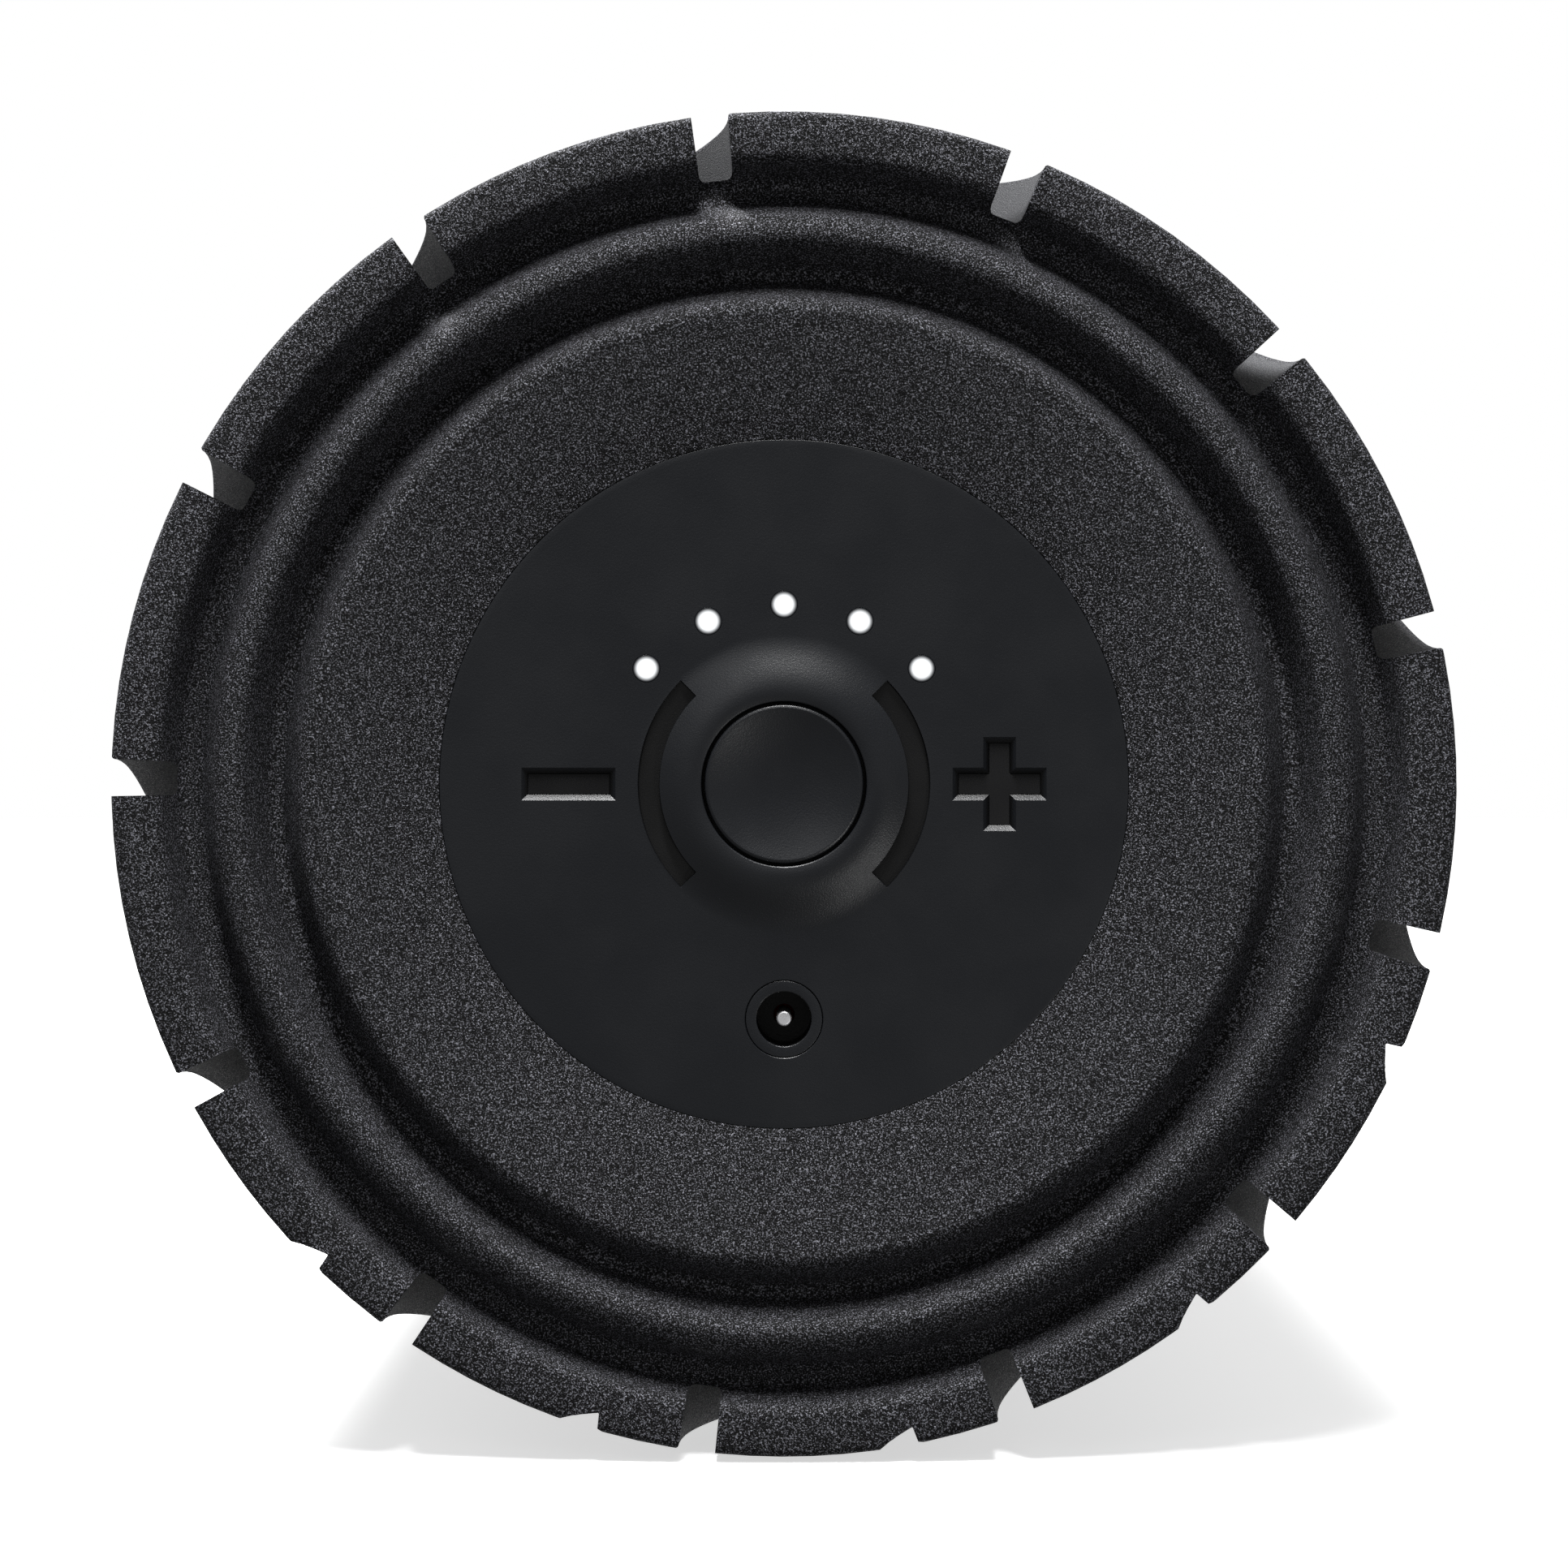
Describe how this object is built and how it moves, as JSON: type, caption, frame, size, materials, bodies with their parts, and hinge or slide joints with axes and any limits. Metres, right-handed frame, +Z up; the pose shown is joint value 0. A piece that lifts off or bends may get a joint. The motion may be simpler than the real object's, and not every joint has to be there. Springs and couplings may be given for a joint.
{
  "type": "vibrating foam roller",
  "caption": "Battery-powered vibrating massage roller: a wave-grooved foam sleeve on a rigid core with a control panel in one end.",
  "frame": {"origin": "middle of the roller's axis: centred on its diameter and half-way along its length", "axes": "+Y runs along the roller from the control end to the plain end, so the control face looks along -Y; +Z is up on the control panel, with the charging inlet lowest; +X is to the right, towards the plus key"},
  "size_m": [0.127, 0.305, 0.127],
  "materials": {
    "black_foam": "matte",
    "panel_black": "satin",
    "key_black": "satin",
    "core_grey": "matte",
    "light_guide": "satin",
    "light_chip": "satin",
    "green_board": "satin",
    "dark_resin": "satin",
    "zinc_steel": "satin",
    "chromed": "gloss",
    "ferrite": "matte",
    "winding": "satin",
    "isolator_rubber": "matte",
    "cell_wrap": "gloss",
    "red_wire": "satin",
    "grey_wire": "satin"
  },
  "bodies": {
    "roller": {"foam_sleeve": "black_foam", "front_foam_pad": "black_foam", "rear_foam_pad": "black_foam", "core_tube": "core_grey", "front_end_cap": "core_grey", "rear_end_cap": "core_grey", "rear_cover": "panel_black", "front_cap_screw_1": "zinc_steel", "front_cap_screw_2": "zinc_steel", "front_cap_screw_3": "zinc_steel", "rear_cap_screw_1": "zinc_steel", "rear_cap_screw_2": "zinc_steel", "rear_cap_screw_3": "zinc_steel", "control_panel": "panel_black", "light_guide": "light_guide", "control_board": "green_board", "board_screw_1": "zinc_steel", "board_screw_2": "zinc_steel", "board_screw_3": "zinc_steel", "board_screw_4": "zinc_steel", "power_switch": "dark_resin", "minus_switch": "dark_resin", "plus_switch": "dark_resin", "led_1": "light_chip", "led_2": "light_chip", "led_3": "light_chip", "led_4": "light_chip", "led_5": "light_chip", "dc_jack": "key_black", "jack_pin": "chromed", "motor_can": "zinc_steel", "motor_end_bell": "zinc_steel", "upper_magnet": "ferrite", "lower_magnet": "ferrite", "front_bearing": "chromed", "rear_bearing": "chromed", "front_bulkhead": "core_grey", "rear_bulkhead": "core_grey", "front_isolator": "isolator_rubber", "rear_isolator": "isolator_rubber", "battery_cradle": "core_grey", "battery_clamp": "core_grey", "battery_cell_1": "cell_wrap", "battery_cell_2": "cell_wrap", "battery_cell_3": "cell_wrap", "main_board": "green_board", "capacitor": "dark_resin", "board_tray": "core_grey", "jack_lead": "red_wire", "panel_lead": "grey_wire", "motor_lead": "red_wire", "battery_lead": "red_wire"},
    "power_button": {"power_button": "key_black"},
    "minus_key": {"minus_key": "key_black"},
    "plus_key": {"plus_key": "key_black"},
    "rotor": {"motor_shaft": "zinc_steel", "armature": "winding", "front_weight": "zinc_steel", "rear_weight": "zinc_steel"}
  },
  "joints": [
    {"name": "power_button_press", "type": "slide", "parent": "roller", "child": "power_button", "axis": [0, 1, 0], "range_m": [0, 0.0007], "stiffness_N_per_m": 2500, "springref_m": -0.0004},
    {"name": "minus_key_press", "type": "slide", "parent": "roller", "child": "minus_key", "axis": [0, 1, 0], "range_m": [0, 0.0006], "stiffness_N_per_m": 2500, "springref_m": -0.0004},
    {"name": "plus_key_press", "type": "slide", "parent": "roller", "child": "plus_key", "axis": [0, 1, 0], "range_m": [0, 0.0006], "stiffness_N_per_m": 2500, "springref_m": -0.0004},
    {"name": "rotor_spin", "type": "hinge", "parent": "roller", "child": "rotor", "pos_m": [0, 0, 0], "axis": [0, 1, 0], "continuous": true}
  ]
}
